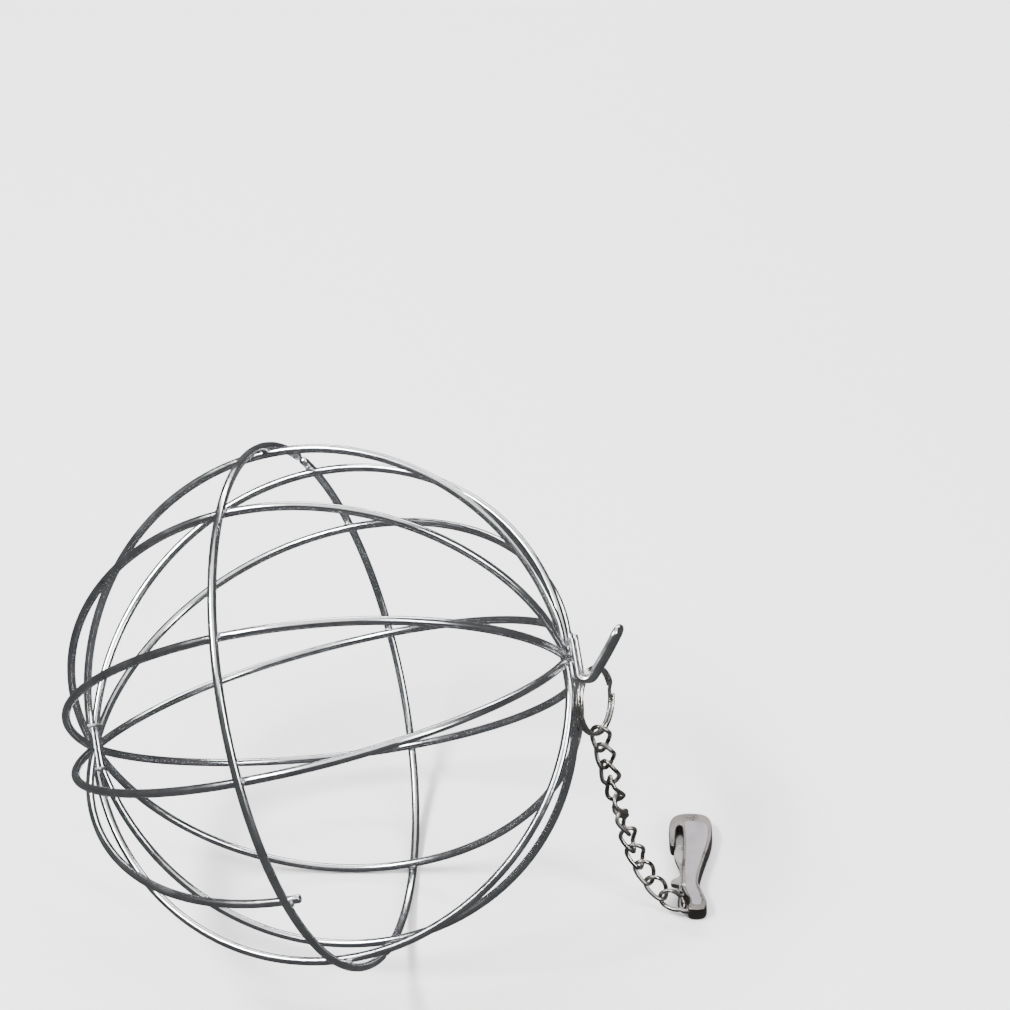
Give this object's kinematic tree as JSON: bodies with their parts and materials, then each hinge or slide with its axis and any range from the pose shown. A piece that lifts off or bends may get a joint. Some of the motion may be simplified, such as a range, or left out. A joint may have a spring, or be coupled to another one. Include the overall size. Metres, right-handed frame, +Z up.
{
  "type": "hay ball feeder",
  "caption": "Hanging wire ball that holds hay for small animals: hinged half shells of round wire, with a hook, key ring, curb chain and lobster clasp at one pole.",
  "frame": {"origin": "centre of the hook's bend, where the key ring hangs", "axes": "+Z up with the ball lying on the floor as stored, X in the upright plane through the ball's poles with the hook's side at +X, Y across it"},
  "size_m": [0.1502, 0.1256, 0.1221],
  "materials": {
    "shell_wire": "bright nickel-plated steel wire",
    "hook": "bright nickel-plated steel wire with small weld beads",
    "hinge_loops": "dull steel wire, crimped",
    "key_ring": "nickel-plated spring steel",
    "chain": "nickel-plated steel, tumbled",
    "clasp": "nickel-plated zinc casting",
    "lever": "nickel-plated stamping",
    "pin": "pressed steel pin",
    "spring": "plain spring wire"
  },
  "bodies": {
    "base": {"base_rim_wire": "shell_wire", "base_wire_1": "shell_wire", "base_wire_2": "shell_wire", "base_wire_3": "shell_wire", "base_wire_4": "shell_wire", "base_half_ring": "shell_wire", "hinge_loop_upper": "hinge_loops", "hinge_loop_lower": "hinge_loops", "hook": "hook"},
    "lid": {"lid_rim_wire": "shell_wire", "lid_wire_1": "shell_wire", "lid_wire_2": "shell_wire", "lid_wire_3": "shell_wire", "lid_short_wire": "shell_wire", "lid_half_ring": "shell_wire"},
    "key_ring": {"key_ring": "key_ring"},
    "link_01": {"chain_link_01": "chain"},
    "link_02": {"chain_link_02": "chain"},
    "link_03": {"chain_link_03": "chain"},
    "link_04": {"chain_link_04": "chain"},
    "link_05": {"chain_link_05": "chain"},
    "link_06": {"chain_link_06": "chain"},
    "link_07": {"chain_link_07": "chain"},
    "link_08": {"chain_link_08": "chain"},
    "link_09": {"chain_link_09": "chain"},
    "link_10": {"chain_link_10": "chain"},
    "link_11": {"chain_link_11": "chain"},
    "clasp": {"clasp_body": "clasp", "clasp_pin": "pin", "clasp_spring": "spring"},
    "clasp_lever": {"clasp_lever": "lever"}
  },
  "joints": [
    {"name": "lid_hinge", "type": "hinge", "parent": "base", "child": "lid", "pos_m": [-0.12045, 0.00184, -0.02646], "axis": [0.1638, -0.7361, -0.6568], "range_deg": [0, 100]},
    {"name": "ring_swing", "type": "hinge", "parent": "base", "child": "key_ring", "pos_m": [0, 0, 0], "axis": [-0.1781, -0.6769, 0.7142], "range_deg": [-2, 30]},
    {"name": "link_01_swing", "type": "hinge", "parent": "key_ring", "child": "link_01", "pos_m": [0.00248, -0.00391, -0.01553], "axis": [0.4004, 0.8494, -0.3439], "range_deg": [-20, 20]},
    {"name": "link_02_swing", "type": "hinge", "parent": "link_01", "child": "link_02", "pos_m": [0.00306, -0.00407, -0.02106], "axis": [0.9154, -0.3882, 0.1069], "range_deg": [-20, 20]},
    {"name": "link_03_swing", "type": "hinge", "parent": "link_02", "child": "link_03", "pos_m": [0.00371, -0.00425, -0.02669], "axis": [-0.3769, -0.9261, -0.0138], "range_deg": [-20, 20]},
    {"name": "link_04_swing", "type": "hinge", "parent": "link_03", "child": "link_04", "pos_m": [0.00445, -0.00445, -0.03232], "axis": [0.9223, -0.3633, 0.1315], "range_deg": [-20, 20]},
    {"name": "link_05_swing", "type": "hinge", "parent": "link_04", "child": "link_05", "pos_m": [0.00527, -0.00468, -0.03794], "axis": [-0.3526, -0.9357, -0.0135], "range_deg": [-20, 20]},
    {"name": "link_06_swing", "type": "hinge", "parent": "link_05", "child": "link_06", "pos_m": [0.00622, -0.00495, -0.04353], "axis": [0.9258, -0.3375, 0.1701], "range_deg": [-20, 20]},
    {"name": "link_07_swing", "type": "hinge", "parent": "link_06", "child": "link_07", "pos_m": [0.00733, -0.00525, -0.04909], "axis": [-0.3279, -0.9446, -0.0129], "range_deg": [-20, 20]},
    {"name": "link_08_swing", "type": "hinge", "parent": "link_07", "child": "link_08", "pos_m": [0.00867, -0.00562, -0.0546], "axis": [0.9205, -0.3091, 0.2391], "range_deg": [-20, 20]},
    {"name": "link_09_swing", "type": "hinge", "parent": "link_08", "child": "link_09", "pos_m": [0.01034, -0.00609, -0.06001], "axis": [-0.3028, -0.953, -0.0116], "range_deg": [-20, 20]},
    {"name": "link_10_swing", "type": "hinge", "parent": "link_09", "child": "link_10", "pos_m": [0.01256, -0.0067, -0.06521], "axis": [0.8785, -0.2706, 0.3938], "range_deg": [-20, 20]},
    {"name": "link_11_swing", "type": "hinge", "parent": "link_10", "child": "link_11", "pos_m": [0.01574, -0.00758, -0.06984], "axis": [-0.2776, -0.9607, -0.0073], "range_deg": [-20, 20]},
    {"name": "clasp_swing", "type": "hinge", "parent": "link_11", "child": "clasp", "pos_m": [0.01913, -0.00853, -0.07167], "axis": [0, 1, 0], "range_deg": [-20, 20]},
    {"name": "lever_press", "type": "hinge", "parent": "clasp", "child": "clasp_lever", "pos_m": [0.02016, -0.00353, -0.07212], "axis": [0, 0, -1], "range_deg": [0, 14], "stiffness_Nm_per_rad": 0.0006, "springref_deg": -11.46}
  ]
}
